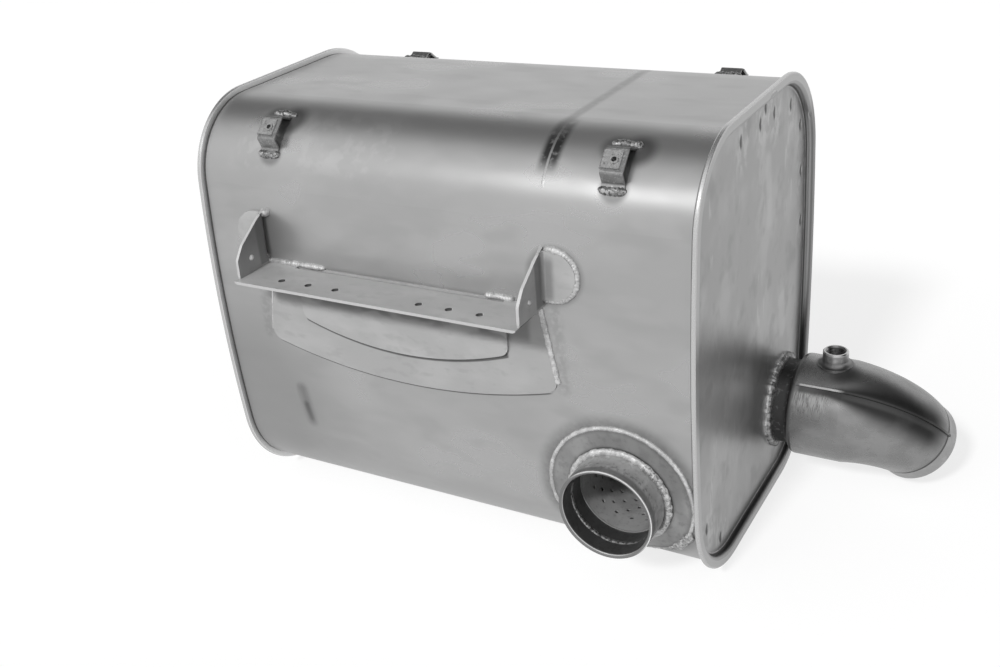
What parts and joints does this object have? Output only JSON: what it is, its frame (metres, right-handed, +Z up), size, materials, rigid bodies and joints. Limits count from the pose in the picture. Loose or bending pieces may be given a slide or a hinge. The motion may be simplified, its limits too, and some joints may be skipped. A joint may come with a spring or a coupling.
{
  "type": "muffler",
  "caption": "Box-shaped vehicle exhaust muffler with round front inlet, side elbow outlet, sensor boss, folded mounting bracket and lock-seamed end plates.",
  "frame": {"origin": "centre of the mouth of the inlet pipe", "axes": "+X along the body towards the outlet elbow, -Y out of the inlet mouth, +Z up"},
  "size_m": [0.9639, 0.5385, 0.612],
  "materials": {
    "wrap_steel": "cold-rolled sheet, satin, with heat tint beside the welds",
    "plate_steel": "pressed sheet, blotchy grey",
    "hidden_steel": "plain sheet",
    "inlet_steel": "tube, dulled by welding heat",
    "perforated_steel": "punched sheet",
    "elbow_steel": "pressed sheet, heat tinted, brushed at its start",
    "sleeve_steel": "plain bright tube",
    "boss_steel": "turned",
    "bracket_steel": "folded sheet, matt",
    "clip_steel": "folded sheet, darkened by welding",
    "spring_steel": "plated spring sheet",
    "wool": "needled mineral wool"
  },
  "bodies": {
    "root": {"shell": "wrap_steel", "end_plate_left": "plate_steel", "end_plate_right": "plate_steel", "inner_plate_left": "hidden_steel", "inner_plate_right": "hidden_steel", "baffle_left": "hidden_steel", "baffle_right": "hidden_steel", "transfer_tube_upper": "hidden_steel", "transfer_tube_lower": "hidden_steel", "outlet_tube": "hidden_steel", "wool_sleeve": "wool", "wool_can": "hidden_steel", "inlet_doubler": "inlet_steel", "inlet_pipe": "inlet_steel", "inlet_diffuser": "perforated_steel", "diffuser_cap": "hidden_steel", "outlet_elbow_front": "elbow_steel", "outlet_elbow_rear": "elbow_steel", "outlet_sleeve": "sleeve_steel", "sensor_boss": "boss_steel", "bracket_doubler": "bracket_steel", "mounting_bracket": "bracket_steel", "strap_front_left": "clip_steel", "strap_front_right": "clip_steel", "strap_rear_left": "clip_steel", "strap_rear_right": "clip_steel", "clip_nuts": "spring_steel"}
  },
  "joints": []
}
